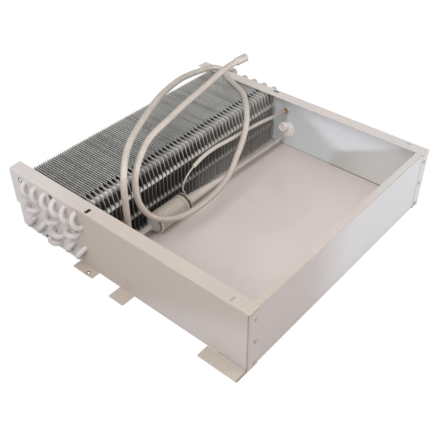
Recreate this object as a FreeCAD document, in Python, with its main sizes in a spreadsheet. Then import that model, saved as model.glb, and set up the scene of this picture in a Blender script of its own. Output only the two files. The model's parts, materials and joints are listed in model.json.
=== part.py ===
import FreeCAD
import Part
import Sketcher
import math
import os

# Refrigerator evaporator: a finned coil with 30 tubes in a shallow sheet-metal tray,
# with its accumulator, suction line and capillary feed in the open bay before it.
# Millimetres. X runs along the coil tubes, Y from the front wall to the open back,
# Z up from the underside of the tray, with the origin at the middle of that underside.

dimensions = {
    # Tray
    "casing_width": 500.0,
    "casing_depth": 506.0,
    "casing_height": 116.6,
    "sheet_gauge": 1.0,
    "bend_radius": 1.6,
    "seam_gap": 0.3,
    # Side plates
    "left_flange": 24.0,
    "right_flange": 23.5,
    "corner_strip": 22.0,
    "strip_rounding": 2.5,
    "strip_inner_rounding": 1.5,
    "web_rear_low": 250.5,
    "web_rear_high": 258.0,
    "web_step": 46.5,
    "flange_rear_inner": 259.6,
    "notch_front": 179.0,
    "notch_rear": 189.0,
    "notch_rise": 9.5,
    "slot_long": 11.0,
    "slot_wide": 4.0,
    "slot_corner": 1.3,
    "slot_rear": 70.0,
    "slot_front": -217.0,
    "slot_inset": 8.0,
    # Front wall
    "front_flange": 12.0,
    "front_foot": 12.0,
    "rivet_diameter": 3.2,
    "rivet_head": 6.0,
    "rivet_head_height": 1.2,
    "rivet_low": 8.0,
    "rivet_pitch": 45.0,
    "rivet_inset": 14.5,
    "rivets_per_corner": 3.0,
    # Coil tubes
    "tube_diameter": 9.52,
    "tube_pitch": 25.0,
    "tube_rows": 5.0,
    "row_stagger": 12.5,
    "tubes_per_row": 6.0,
    "tube_front": 81.0,
    "tube_low": 17.3,
    "tube_head_gap": 12.7,
    "tube_clearance": 0.15,
    "hairpin_inset": 1.0,
    "leg_reach": 7.0,
    "bend_stub": 6.0,
    # Fins
    "fin_gauge": 0.3,
    "fin_end_gap": 11.1,
    "fin_count": 53.0,
    "fin_foot": 6.5,
    "fin_head_gap": 0.8,
    "fin_front_margin": 12.5,
    "fin_rear_margin": 12.5,
    "fin_corner": 12.0,
    "short_fin_setback": 37.5,
    "short_fin_corner": 3.0,
    "nest_gap": 0.5,
    # Accumulator
    "can_radius": 19.0,
    "can_left": -119.0,
    "can_right": -52.0,
    "can_wall_rise": 0.8,
    "can_shoulder": 3.0,
    "accumulator_front": 55.0,
    "accumulator_floor_gap": 0.2,
    "band_width": 2.0,
    "ring_width": 9.0,
    "cap_length": 13.0,
    "cap_waist": 12.7,
    "cap_waist_share": 0.67,
    "cap_shoulder_share": 0.25,
    "shoulder_radius": 17.5,
    "shoulder_length": 7.0,
    "cone_root_radius": 8.5,
    "cone_length": 101.0,
    "cone_drop": 4.5,
    # Pipes
    "suction_diameter": 11.0,
    "socket_diameter": 14.5,
    "socket_length": 27.0,
    "socket_bore": 11.4,
    "socket_depth": 22.0,
    "connecting_diameter": 7.5,
    "outlet_port_front": 52.0,
    "outlet_port_rise": 15.5,
    "sleeve_diameter": 7.0,
    "capillary_diameter": 2.8,
    "inlet_port_front": 46.5,
    "inlet_port_rise": 81.0,
    "collar_diameter": 13.0,
    "collar_width": 3.0,
    "braze_diameter": 9.0,
    "braze_width": 4.0,
    "fit_gap": 0.1,
    # Grommet
    "grommet_front": 39.5,
    "grommet_rise": 38.7,
    "grommet_radius": 15.0,
    "grommet_neck": 11.0,
    "grommet_lip": 2.5,
    "hub_front": 46.0,
    "hub_rise": 47.0,
    "hub_radius": 9.0,
    "hub_length": 11.0,
    "hub_bore": 6.5,
    # Openings in the left plate
    "screw_hole": 6.5,
    "small_hole": 4.0,
    "screw_hole_rear": 152.4,
    "screw_hole_rear_rise": 107.0,
    "screw_hole_front": 97.5,
    "screw_hole_front_rise": 66.4,
    "edge_hole_rear": 232.0,
    "edge_hole_rise": 103.4,
    "foot_hole_rear": 155.3,
    "foot_hole_rise": 7.0,
    # Mounting tabs of the left plate
    "tab_reach": 17.0,
    "tab_front": 54.0,
    "tab_rear": 100.0,
    "tab_hole": 4.5,
    "tab_hole_front": 68.0,
    "tab_hole_inset": 11.5,
    "wide_tab_reach": 26.0,
    "wide_tab_front": -27.0,
    "wide_tab_rear": 5.0,
    "corner_tab_reach": 24.0,
    "corner_tab_front": -252.5,
    "corner_tab_rear": -179.0,
    "tab_corner": 2.0,
}

# Flats that stand in for round outlines, and turns that stand in for a half circle or a fin's corner
tubeFlats = 8
pipeFlats = 10
holeFlats = 10
rivetFlats = 6
vesselFlats = 32
bendTurns = 6
cornerTurns = 3

# Shares of the shorter run at a bend in a pipe that its easing takes up
pipeEasing = 0.3
lineEasing = 0.25

doc = FreeCAD.newDocument("Evaporator")
sheet = doc.addObject("Spreadsheet::Sheet", "Sizes")
for row, (name, number) in enumerate(dimensions.items(), 1):
    sheet.set(f"A{row}", name)
    sheet.set(f"B{row}", str(number))
    sheet.setAlias(f"B{row}", name)
doc.recompute()


# A number that carries the cell formula which gives it
class Term:
    def __init__(self, number, formula):
        self.number = float(number)
        self.formula = formula

    def __add__(self, other):
        other = term(other)
        return Term(self.number + other.number, f"({self.formula} + {other.formula})")

    def __sub__(self, other):
        other = term(other)
        return Term(self.number - other.number, f"({self.formula} - {other.formula})")

    def __mul__(self, other):
        other = term(other)
        return Term(self.number * other.number, f"({self.formula} * {other.formula})")

    def __truediv__(self, other):
        other = term(other)
        return Term(self.number / other.number, f"({self.formula} / {other.formula})")

    def __neg__(self):
        return Term(-self.number, f"(0 - {self.formula})")

    def __radd__(self, other):
        return term(other) + self

    def __rsub__(self, other):
        return term(other) - self

    def __rmul__(self, other):
        return term(other) * self


def term(amount):
    if isinstance(amount, Term):
        return amount
    return Term(amount, f"({amount})")


def cosine(angle):
    angle = term(angle)
    return Term(math.cos(math.radians(angle.number)), f"cos({angle.formula})")


def sine(angle):
    angle = term(angle)
    return Term(math.sin(math.radians(angle.number)), f"sin({angle.formula})")


def lengthOf(across, up):
    return Term(math.hypot(across.number, up.number), f"sqrt({across.formula}^2 + {up.formula}^2)")


def angleOf(across, up):
    angle = math.degrees(math.atan2(up.number, across.number))
    return Term(angle, f"(atan2({up.formula}; {across.formula}) / 1deg)")


class Sheet:
    pass


size = Sheet()
for name, number in dimensions.items():
    setattr(size, name, Term(number, f"Sizes.{name}"))

parts = []


def bind(made, setting, amount):
    made.setExpression(setting, term(amount).formula)


def body(label):
    made = doc.addObject("PartDesign::Body", label)
    made.Label = label
    parts.append(made)
    return made


def sketch(owner, name, role, offset=0):
    made = owner.newObject("Sketcher::SketchObject", owner.Label + "_" + name)
    made.AttachmentSupport = ([f for f in owner.Origin.OriginFeatures if f.Role == role][0], [""])
    made.MapMode = "FlatFace"
    bind(made, "AttachmentOffset.Base.z", offset)
    return made


# Holds a point of a sketch at a place measured from the sketch's origin
def pin(made, geometry, vertex, across, up):
    for kind, amount in (("DistanceX", term(across)), ("DistanceY", term(up))):
        index = made.addConstraint(Sketcher.Constraint(kind, -1, 1, geometry, vertex, amount.number))
        bind(made, f"Constraints[{index}]", amount)


# Closed outline through corners given as (across, up) or (across, up, radius of the rounding)
def outline(made, corners):
    count = len(corners)
    spots = [FreeCAD.Vector(term(c[0]).number, term(c[1]).number, 0) for c in corners]
    ends = []
    for i, spot in enumerate(spots):
        before = (spots[i - 1] - spot).normalize()
        after = (spots[(i + 1) % count] - spot).normalize()
        radius = term(corners[i][2]).number if len(corners[i]) > 2 else 0
        reach = radius / math.tan(before.getAngle(after) / 2)
        ends.append((spot + before * reach, spot + after * reach, before, after))
    first = made.GeometryCount
    for i in range(count):
        made.addGeometry(Part.LineSegment(ends[i][1], ends[(i + 1) % count][0]), False)
    for i, corner in enumerate(corners):
        before = first + (i - 1) % count
        after = first + i
        if len(corner) == 2:
            made.addConstraint(Sketcher.Constraint("Coincident", before, 2, after, 1))
            pin(made, after, 1, corner[0], corner[1])
            continue
        roundCorner(made, before, after, corner, spots[i], ends[i])


# Arc of a set radius between two lines whose sharp corner stays pinned
def roundCorner(made, before, after, corner, spot, end):
    radius = term(corner[2])
    mark = made.addGeometry(Part.Point(spot), True)
    pin(made, mark, 1, corner[0], corner[1])
    made.addConstraint(Sketcher.Constraint("PointOnObject", mark, 1, before))
    made.addConstraint(Sketcher.Constraint("PointOnObject", mark, 1, after))
    start, stop, back, ahead = end
    middle = (back + ahead).normalize()
    centre = spot + middle * (radius.number / math.sin(back.getAngle(ahead) / 2))
    turnsLeft = (-back).cross(ahead).z > 0
    if not turnsLeft:
        start, stop = stop, start
    angles = [math.atan2(p.y - centre.y, p.x - centre.x) for p in (start, stop)]
    circle = Part.Circle(centre, FreeCAD.Vector(0, 0, 1), radius.number)
    arc = made.addGeometry(Part.ArcOfCircle(circle, angles[0], angles[1]), False)
    made.addConstraint(Sketcher.Constraint("Tangent", before, 2, arc, 1 if turnsLeft else 2))
    made.addConstraint(Sketcher.Constraint("Tangent", arc, 2 if turnsLeft else 1, after, 1))
    index = made.addConstraint(Sketcher.Constraint("Radius", arc, radius.number))
    bind(made, f"Constraints[{index}]", radius)


def circle(made, across, up, radius):
    centre = FreeCAD.Vector(term(across).number, term(up).number, 0)
    index = made.addGeometry(Part.Circle(centre, FreeCAD.Vector(0, 0, 1), term(radius).number), False)
    pin(made, index, 3, across, up)
    rule = made.addConstraint(Sketcher.Constraint("Radius", index, term(radius).number))
    bind(made, f"Constraints[{rule}]", radius)


# Regular outline of flats round a centre, with a flat facing the direction given in degrees
def ring(made, across, up, radius, flats, facing=0):
    corners = []
    for i in range(flats):
        angle = facing + (i + 0.5) * 360 / flats
        corners.append((across + radius * cosine(angle), up + radius * sine(angle)))
    outline(made, corners)


def openPath(made, points):
    for first, second in zip(points, points[1:]):
        ends = [FreeCAD.Vector(term(p[0]).number, term(p[1]).number, 0) for p in (first, second)]
        made.addGeometry(Part.LineSegment(*ends), False)
    for i in range(len(points) - 2):
        made.addConstraint(Sketcher.Constraint("Coincident", i, 2, i + 1, 1))
    for i, point in enumerate(points[:-1]):
        pin(made, i, 1, *point)
    pin(made, len(points) - 2, 2, *points[-1])


def pad(owner, profile, length, second=None):
    made = owner.newObject("PartDesign::Pad", profile.Label + "_pad")
    made.Profile = profile
    bind(made, "Length", length)
    if second is not None:
        made.SideType = "Two sides"
        bind(made, "Length2", second)
    profile.Visibility = False
    return made


def cutThrough(owner, profile):
    made = owner.newObject("PartDesign::Pocket", profile.Label + "_cut")
    made.Profile = profile
    made.SideType = "Symmetric"
    made.Type = "ThroughAll"
    return made


def axisOf(owner, role):
    return [f for f in owner.Origin.OriginFeatures if f.Role == role][0]


def repeat(owner, feature, role, spacing, count):
    made = owner.newObject("PartDesign::LinearPattern", feature.Label + "_row")
    made.Originals = [feature]
    made.Direction = (axisOf(owner, role), [""])
    made.Mode = "Spacing"
    bind(made, "Offset", spacing)
    bind(made, "Occurrences", count)
    owner.Tip = made
    return made


def repeatGrid(owner, feature, spacing, count, rise, rows):
    made = repeat(owner, feature, "Y_Axis", spacing, count)
    made.Direction2 = (axisOf(owner, "Z_Axis"), [""])
    made.Mode2 = "Spacing"
    bind(made, "Offset2", rise)
    bind(made, "Occurrences2", rows)
    return made


def place(made, x, y, z, tilt=0):
    bind(made, "Placement.Base.x", x)
    bind(made, "Placement.Base.y", y)
    bind(made, "Placement.Base.z", z)
    made.Placement.Rotation = FreeCAD.Rotation(FreeCAD.Vector(1, 0, 0), term(tilt).number)
    bind(made, "Placement.Rotation.Angle", tilt)


# Places that several pieces share
halfWidth = size.casing_width / 2
plateInner = halfWidth - size.sheet_gauge
front = -size.casing_depth / 2
top = size.casing_height
flangeUnder = top - size.sheet_gauge
outerBend = size.bend_radius + size.sheet_gauge
wallOuter = front + size.sheet_gauge
wallInner = wallOuter + size.sheet_gauge
floorTop = size.sheet_gauge
tubeRadius = size.tube_diameter / 2
legEnd = halfWidth + size.leg_reach
farTurn = legEnd + size.bend_stub
nearTurn = -(halfWidth - size.hairpin_inset)
tubeFacing = 360 / tubeFlats / 2
finFront = size.tube_front - size.fin_front_margin
rearTube = size.tube_front + size.row_stagger + (size.tubes_per_row - 1) * size.tube_pitch
finRear = rearTube + size.fin_rear_margin
finPitch = 2 * (plateInner - size.fin_end_gap) / (size.fin_count - 1)
rowRise = (top - size.tube_low - size.tube_head_gap) / (size.tube_rows - 1)
finHead = flangeUnder - size.fin_head_gap
bandRadius = size.can_radius + size.can_wall_rise
canRise = floorTop + size.accumulator_floor_gap + bandRadius
ringEnd = size.can_right + size.ring_width
shoulderEnd = ringEnd + size.shoulder_length
coneTip = shoulderEnd + size.cone_length
capEnd = size.can_left - size.cap_length


# Centre of a coil tube, rows counted from the floor and columns from the front
def tubeAt(row, column):
    stagger = size.row_stagger if row % 2 else 0
    return size.tube_front + stagger + (column - 1) * size.tube_pitch, size.tube_low + (row - 1) * rowRise


# Holes in a side plate for all the coil tubes, in two interleaved grids
def tubeHoles(owner):
    for name, row, rows in (("odd_rows", 1, 3), ("even_rows", 2, 2)):
        across, up = tubeAt(row, 1)
        hole = sketch(owner, name, "YZ_Plane")
        ring(hole, across, up, tubeRadius + size.tube_clearance, tubeFlats, tubeFacing)
        cut = cutThrough(owner, hole)
        doc.recompute()
        repeatGrid(owner, cut, size.tube_pitch, size.tubes_per_row, 2 * rowRise, rows)


# Side plate with its inward top flange, front corner strip, trimmed rear and tube holes
def sidePlate(label, side, flange):
    owner = body(label)
    outer = side * halfWidth
    inner = side * plateInner
    section = sketch(owner, "section", "XZ_Plane")
    outline(section, [
        (outer, 0), (outer, top, outerBend), (outer - side * flange, top),
        (outer - side * flange, flangeUnder), (inner, flangeUnder, size.bend_radius), (inner, 0)])
    pad(owner, section, -front, size.flange_rear_inner)

    rear = sketch(owner, "rear_trim", "YZ_Plane")
    outline(rear, [
        (size.web_rear_low, -outerBend), (size.web_rear_low, size.web_step),
        (size.web_rear_high, size.web_step), (size.web_rear_high, top - 2 * outerBend),
        (2 * size.web_rear_high, top - 2 * outerBend), (2 * size.web_rear_high, -outerBend)])
    cutThrough(owner, rear)

    slant = sketch(owner, "flange_trim", "XY_Plane")
    outline(slant, [
        (outer, size.web_rear_high), (outer - side * flange, size.flange_rear_inner),
        (outer - side * flange, 2 * size.flange_rear_inner), (outer, 2 * size.flange_rear_inner)])
    cutThrough(owner, slant)

    relief = sketch(owner, "corner_relief", "YZ_Plane")
    reliefTop = flangeUnder - size.bend_radius
    outline(relief, [
        (front - outerBend, -outerBend), (front + outerBend, -outerBend), (front + outerBend, reliefTop),
        (front - outerBend, reliefTop)])
    cutThrough(owner, relief)

    strip = sketch(owner, "corner_strip", "XY_Plane")
    outline(strip, [
        (outer, front + outerBend), (outer, front, size.strip_rounding),
        (outer - side * size.corner_strip, front), (outer - side * size.corner_strip, wallOuter),
        (inner, wallOuter, size.strip_inner_rounding), (inner, front + outerBend)])
    pad(owner, strip, reliefTop - size.seam_gap)

    notch = sketch(owner, "notch", "YZ_Plane")
    outline(notch, [
        (size.notch_front, -size.notch_rise), (size.notch_rear, -size.notch_rise),
        (size.notch_rear, size.notch_rise), (size.notch_front, size.notch_rise)])
    cutThrough(owner, notch)
    return owner


# Slot in a flange with eased ends, long across the flange or along it
def flangeSlots(owner, across, alongY):
    halfX = size.slot_wide / 2 if alongY else size.slot_long / 2
    halfY = size.slot_long / 2 if alongY else size.slot_wide / 2
    ease = size.slot_corner
    for name, middle in (("slot_rear", size.slot_rear), ("slot_front", size.slot_front)):
        hole = sketch(owner, name, "XY_Plane", flangeUnder)
        outline(hole, [
            (across - halfX, middle - halfY + ease), (across - halfX + ease, middle - halfY),
            (across + halfX - ease, middle - halfY), (across + halfX, middle - halfY + ease),
            (across + halfX, middle + halfY - ease), (across + halfX - ease, middle + halfY),
            (across - halfX + ease, middle + halfY), (across - halfX, middle + halfY - ease)])
        cutThrough(owner, hole)


# Holes for the rivets that hold a corner strip to the front wall
def rivetHoles(owner, side):
    name = "rivet_hole_left" if side < 0 else "rivet_hole_right"
    hole = sketch(owner, name, "XZ_Plane", -front)
    ring(hole, side * (halfWidth - size.rivet_inset), size.rivet_low, size.rivet_diameter / 2, rivetFlats)
    cut = owner.newObject("PartDesign::Pocket", hole.Label + "_cut")
    cut.Profile = hole
    cut.SideType = "Symmetric"
    bind(cut, "Length", 6 * outerBend)
    doc.recompute()
    repeat(owner, cut, "Z_Axis", size.rivet_pitch, size.rivets_per_corner)


# Left side plate, with the mounting tabs that turn outward at its foot
leftPlate = sidePlate("left_side_plate", -1, size.left_flange)
tabs = (
    ("tab", size.tab_reach, size.tab_front, size.tab_rear),
    ("wide_tab", size.wide_tab_reach, size.wide_tab_front, size.wide_tab_rear),
    ("corner_tab", size.corner_tab_reach, size.corner_tab_front, size.corner_tab_rear))
for name, reach, near, far in tabs:
    tab = sketch(leftPlate, name, "XY_Plane")
    outline(tab, [
        (-plateInner, near), (-plateInner, far), (-halfWidth - reach, far, size.tab_corner),
        (-halfWidth - reach, near, size.tab_corner)])
    pad(leftPlate, tab, size.sheet_gauge)
tabHole = sketch(leftPlate, "tab_hole", "XY_Plane")
circle(tabHole, -halfWidth - size.tab_hole_inset, size.tab_hole_front, size.tab_hole / 2)
cutThrough(leftPlate, tabHole)
for name, across, up, width in (
        ("screw_hole_rear", size.screw_hole_rear, size.screw_hole_rear_rise, size.screw_hole),
        ("screw_hole_front", size.screw_hole_front, size.screw_hole_front_rise, size.small_hole),
        ("edge_hole", size.edge_hole_rear, size.edge_hole_rise, size.screw_hole),
        ("foot_hole", size.foot_hole_rear, size.foot_hole_rise, size.small_hole)):
    hole = sketch(leftPlate, name, "YZ_Plane")
    ring(hole, across, up, width / 2, holeFlats)
    cutThrough(leftPlate, hole)
flangeSlots(leftPlate, -halfWidth + size.slot_inset, False)
rivetHoles(leftPlate, -1)
tubeHoles(leftPlate)

# Right side plate, with the passages for both pipes and the grommet
rightPlate = sidePlate("right_side_plate", 1, size.right_flange)
for name, across, up, width, flats in (
        ("inlet_passage", size.inlet_port_front, size.inlet_port_rise, size.sleeve_diameter, pipeFlats),
        ("outlet_passage", size.outlet_port_front, size.outlet_port_rise, size.connecting_diameter,
         pipeFlats),
        ("grommet_passage", size.grommet_front, size.grommet_rise, 2 * size.grommet_neck, vesselFlats)):
    hole = sketch(rightPlate, name, "YZ_Plane")
    ring(hole, across, up, width / 2 + size.fit_gap, flats)
    cutThrough(rightPlate, hole)
flangeSlots(rightPlate, halfWidth - size.slot_inset, True)
rivetHoles(rightPlate, 1)
tubeHoles(rightPlate)

# Floor pan between the side plates, under the coil and the bay
floorPan = body("floor_pan")
floorSketch = sketch(floorPan, "outline", "XY_Plane")
floorHalf = plateInner - size.seam_gap
outline(floorSketch, [
    (-floorHalf, wallOuter + size.seam_gap), (floorHalf, wallOuter + size.seam_gap),
    (floorHalf, size.web_rear_low), (-floorHalf, size.web_rear_low)])
pad(floorPan, floorSketch, size.sheet_gauge)

# Front wall: a channel whose foot rests on the floor pan and whose flange closes the top edge
frontWall = body("front_wall")
wallSketch = sketch(frontWall, "section", "YZ_Plane", -floorHalf)
outline(wallSketch, [
    (wallOuter, floorTop, outerBend), (wallOuter + size.front_foot, floorTop),
    (wallOuter + size.front_foot, floorTop + size.sheet_gauge),
    (wallInner, floorTop + size.sheet_gauge, size.bend_radius), (wallInner, flangeUnder, size.bend_radius),
    (wallOuter + size.front_flange, flangeUnder), (wallOuter + size.front_flange, top),
    (wallOuter, top, outerBend)])
pad(frontWall, wallSketch, 2 * floorHalf)
for name, side, flange in (("left_seam", -1, size.left_flange), ("right_seam", 1, size.right_flange)):
    seam = sketch(frontWall, name, "XZ_Plane")
    seamEnd = side * (halfWidth - flange - size.seam_gap)
    outline(seam, [
        (side * halfWidth, flangeUnder - outerBend), (seamEnd, flangeUnder - outerBend),
        (seamEnd, 2 * top), (side * halfWidth, 2 * top)])
    cutThrough(frontWall, seam)
rivetHoles(frontWall, -1)
rivetHoles(frontWall, 1)

# Rivets: a shank through strip and wall, a head outside and an upset end inside
for label, side in (("rivets_left", -1), ("rivets_right", 1)):
    rivets = body(label)
    across = side * (halfWidth - size.rivet_inset)
    shank = sketch(rivets, "shank", "XZ_Plane", -front)
    ring(shank, across, size.rivet_low, size.rivet_diameter / 2, rivetFlats)
    shankPad = pad(rivets, shank, size.rivet_head_height, 2 * size.sheet_gauge + size.rivet_head_height)
    head = sketch(rivets, "head", "XZ_Plane", -front)
    ring(head, across, size.rivet_low, size.rivet_head / 2, rivetFlats)
    headPad = pad(rivets, head, size.rivet_head_height)
    upset = sketch(rivets, "upset", "XZ_Plane", -wallInner)
    ring(upset, across, size.rivet_low, size.rivet_head / 2, rivetFlats)
    upsetPad = rivets.newObject("PartDesign::Pad", upset.Label + "_pad")
    upsetPad.Profile = upset
    upsetPad.Reversed = True
    bind(upsetPad, "Length", size.rivet_head_height)
    doc.recompute()
    column = rivets.newObject("PartDesign::LinearPattern", label + "_column")
    column.Originals = [shankPad, headPad, upsetPad]
    column.Direction = (axisOf(rivets, "Z_Axis"), [""])
    column.Mode = "Spacing"
    bind(column, "Offset", size.rivet_pitch)
    bind(column, "Occurrences", size.rivets_per_corner)
    rivets.Tip = column


# A rank of parallel fins; the front ends of the long ones are cut away round the accumulator
def finRank(label, start, near, corner, count, nest):
    owner = body(label)
    profile = sketch(owner, "outline", "YZ_Plane", start)
    corners = [(near, size.fin_foot), (finRear, size.fin_foot), (finRear, finHead)]
    turns = cornerTurns if nest else 1
    for i in range(turns + 1):
        angle = 90 + i * 90 / turns
        corners.append((near + corner + corner * cosine(angle), finHead - corner + corner * sine(angle)))
    outline(profile, corners)
    fin = pad(owner, profile, size.fin_gauge)
    doc.recompute()
    repeat(owner, fin, "X_Axis", finPitch, count)
    if nest:
        room = sketch(owner, "nest", "XY_Plane", canRise)
        gap = size.nest_gap
        axis = size.accumulator_front
        outline(room, [
            (capEnd, axis), (capEnd, axis + bandRadius + gap), (shoulderEnd, axis + bandRadius + gap),
            (shoulderEnd, axis)])
        groove = owner.newObject("PartDesign::Groove", label + "_nest")
        groove.Profile = room
        groove.ReferenceAxis = (room, ["Edge4"])
        groove.Angle = 360
        owner.Tip = groove


rankStart = size.fin_end_gap - plateInner
finRank("long_fins", rankStart - size.fin_gauge / 2, finFront, size.fin_corner, size.fin_count, True)
finRank("short_fins", rankStart + finPitch / 2 - size.fin_gauge / 2, finFront + size.short_fin_setback,
        size.short_fin_corner, size.fin_count - 1, False)


# U-shaped tube between two centres: two legs along X from one end, joined by a half turn
def uTube(label, first, second, ends, turnCentre, side):
    acrossGap = second[0] - first[0]
    upGap = second[1] - first[1]
    half = lengthOf(acrossGap, upGap) / 2
    tilt = angleOf(acrossGap, upGap)
    owner = body(label)
    path = sketch(owner, "path", "XY_Plane")
    step = 180 / bendTurns
    reach = half / cosine(step / 2)
    points = [(ends, -half)]
    for i in range(bendTurns):
        angle = -90 + (i + 0.5) * step
        points.append((turnCentre + side * reach * cosine(angle), reach * sine(angle)))
    points.append((ends, half))
    openPath(path, points)
    profile = sketch(owner, "profile", "YZ_Plane", ends)
    ring(profile, -half, 0, tubeRadius, tubeFlats, tubeFacing - tilt)
    tube = owner.newObject("PartDesign::AdditivePipe", label + "_tube")
    tube.Profile = profile
    tube.Spine = (path, [])
    tube.Transition = "Right corner"
    place(owner, 0, (first[0] + second[0]) / 2, (first[1] + second[1]) / 2, tilt)


# The circuit from inlet to outlet, as row and column of each tube: each pair of tubes
# is one hairpin, bent at the left, and each step to the next pair is a brazed bend at the right
circuit = [
    (4, 1), (5, 1), (4, 2), (5, 2), (4, 3), (5, 3), (4, 4), (5, 4), (4, 5), (5, 5),
    (5, 6), (4, 6), (3, 6), (3, 5), (2, 6), (1, 6), (1, 5), (2, 5), (1, 4), (1, 3),
    (2, 3), (2, 4), (3, 4), (3, 3), (3, 2), (3, 1), (2, 2), (1, 2), (1, 1), (2, 1)]
for i in range(0, len(circuit), 2):
    uTube(f"hairpin_{i // 2 + 1:02d}", tubeAt(*circuit[i]), tubeAt(*circuit[i + 1]), legEnd,
          nearTurn, -1)
for i in range(1, len(circuit) - 1, 2):
    uTube(f"return_bend_{i // 2 + 1:02d}", tubeAt(*circuit[i]), tubeAt(*circuit[i + 1]), legEnd,
          farTurn, 1)

# Jumpers outside the right plate, from the first and last tubes to the ports
inletPort = (size.inlet_port_front, size.inlet_port_rise)
outletPort = (size.outlet_port_front, size.outlet_port_rise)
uTube("inlet_jumper", inletPort, tubeAt(*circuit[0]), legEnd, farTurn, 1)
uTube("outlet_jumper", outletPort, tubeAt(*circuit[-1]), legEnd, farTurn, 1)


# Closed solid of flat faces through a row of like polygons
def facetedSolid(rings):
    faces = [Part.Face(Part.makePolygon(loop + [loop[0]])) for loop in (rings[0], rings[-1])]
    for near, far in zip(rings, rings[1:]):
        for k in range(len(near)):
            n = (k + 1) % len(near)
            faces.append(Part.Face(Part.makePolygon([near[k], near[n], far[n], far[k], near[k]])))
    solid = Part.Solid(Part.Shell(faces))
    solid.fix(0.001, 0.001, 0.001)
    return solid if solid.Volume > 0 else solid.reversed()


def rawPiece(label, shape):
    made = doc.addObject("Part::Feature", label)
    made.Label = label
    made.Shape = shape
    parts.append(made)
    return made


# Vessel piece about a line along X, through stations of (x, radius), whose last ring may hang lower
def vesselPiece(label, stations, y, z, drop=0):
    turns = [2 * math.pi * (i + 0.5) / vesselFlats for i in range(vesselFlats)]
    rings = []
    for i, (x, radius) in enumerate(stations):
        centre = FreeCAD.Vector(x.number, 0, -term(drop).number if i == len(stations) - 1 else 0)
        rings.append([
            centre + FreeCAD.Vector(0, math.cos(turn), math.sin(turn)) * radius.number for turn in turns])
    place(rawPiece(label, facetedSolid(rings)), 0, y, z)


# Ring about a line along X, from x for its width
def ringPiece(label, x, width, radius, bore, flats, y, z):
    owner = body(label)
    profile = sketch(owner, "profile", "YZ_Plane", x)
    ring(profile, term(0), term(0), radius, flats)
    ring(profile, term(0), term(0), bore, flats)
    pad(owner, profile, width)
    place(owner, 0, y, z)


accumulatorAt = (size.accumulator_front, canRise)
canStart = size.can_left + size.band_width
vesselPiece("accumulator_can", [
    (canStart, size.can_radius - size.can_shoulder / 3), (canStart + size.can_shoulder, size.can_radius),
    (size.can_right, size.can_radius)], *accumulatorAt)
vesselPiece("accumulator_band", [(size.can_left, bandRadius), (canStart, bandRadius)], *accumulatorAt)
vesselPiece("accumulator_ring", [(size.can_right, bandRadius), (ringEnd, bandRadius)], *accumulatorAt)
vesselPiece("accumulator_cone", [
    (ringEnd, size.shoulder_radius), (shoulderEnd, size.cone_root_radius),
    (coneTip, size.connecting_diameter / 2)], *accumulatorAt, size.cone_drop)
vesselPiece("accumulator_cap", [
    (capEnd, size.suction_diameter / 2),
    (size.can_left - size.cap_length * size.cap_waist_share, size.cap_waist),
    (size.can_left - size.cap_length * size.cap_shoulder_share, size.can_radius - size.can_shoulder),
    (size.can_left, size.can_radius - size.can_wall_rise)], *accumulatorAt)

# Collar and braze round the inlet sleeve, and the grommet with its hub in the right plate
sleeveBore = size.sleeve_diameter / 2 + size.fit_gap
collarLeft = plateInner - size.collar_width
ringPiece("inlet_collar", collarLeft, size.collar_width, size.collar_diameter / 2, sleeveBore, pipeFlats,
          *inletPort)
ringPiece("braze_ring", collarLeft - size.braze_width, size.braze_width, size.braze_diameter / 2, sleeveBore,
          pipeFlats, *inletPort)
lipInner = plateInner - size.grommet_lip
grommetAt = (size.grommet_front, size.grommet_rise)
grommet = body("pipe_grommet")
for name, x, thick, radius in (
        ("inner_lip", lipInner, size.grommet_lip, size.grommet_radius),
        ("neck", plateInner, size.sheet_gauge, size.grommet_neck),
        ("outer_lip", halfWidth, size.grommet_lip, size.grommet_radius - size.grommet_lip)):
    disc = sketch(grommet, name, "YZ_Plane", x)
    ring(disc, term(0), term(0), radius, vesselFlats)
    pad(grommet, disc, thick)
place(grommet, 0, *grommetAt)
ringPiece("grommet_hub", lipInner - size.hub_length, size.hub_length, size.hub_radius, size.hub_bore,
          vesselFlats, size.hub_front, size.hub_rise)


# Route with each inner point cut back along both its runs, so that every corner is two half turns
def softened(points, share):
    eased = [points[0]]
    for before, point, after in zip(points, points[1:], points[2:]):
        reach = share * min((point - before).Length, (after - point).Length)
        eased.append(point + (before - point).normalize() * reach)
        eased.append(point + (after - point).normalize() * reach)
    eased.append(points[-1])
    return eased


# Closed tube of flats along a route, mitred at each point
def mitredTube(points, radius, flats):
    runs = [(b - a).normalize() for a, b in zip(points, points[1:])]
    side = runs[0].cross(FreeCAD.Vector(0, 1, 1)).normalize()
    rise = runs[0].cross(side)
    loop = []
    for i in range(flats):
        angle = 2 * math.pi * (i + 0.5) / flats
        loop.append(points[0] + side * (radius * math.cos(angle)) + rise * (radius * math.sin(angle)))
    rings = [loop]
    for i, run in enumerate(runs):
        last = i == len(runs) - 1
        mitre = run if last else (run + runs[i + 1]).normalize()
        loop = [p + run * ((points[i + 1] - p).dot(mitre) / run.dot(mitre)) for p in loop]
        rings.append(loop)
    return facetedSolid(rings)


# Routed tube, with a wider socket at its end where one is given as (width, length, bore, depth)
def routedPiece(label, route, diameter, share=pipeEasing, socket=None):
    points = softened([FreeCAD.Vector(*[term(c).number for c in p]) for p in route], share)
    shape = mitredTube(points, diameter.number / 2, pipeFlats)
    if socket is not None:
        inward = (points[-2] - points[-1]).normalize()
        width, length, bore, depth = [amount.number for amount in socket]
        shape = shape.fuse(Part.makeCylinder(width / 2, length, points[-1], inward))
        shape = shape.cut(Part.makeCylinder(bore / 2, depth, points[-1], inward))
    rawPiece(label, shape)
    swept = math.pi / 4 * diameter.number ** 2 * sum((b - a).Length for a, b in zip(points, points[1:]))
    print(label, "volume", round(shape.Volume), "section times length", round(swept))


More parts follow.
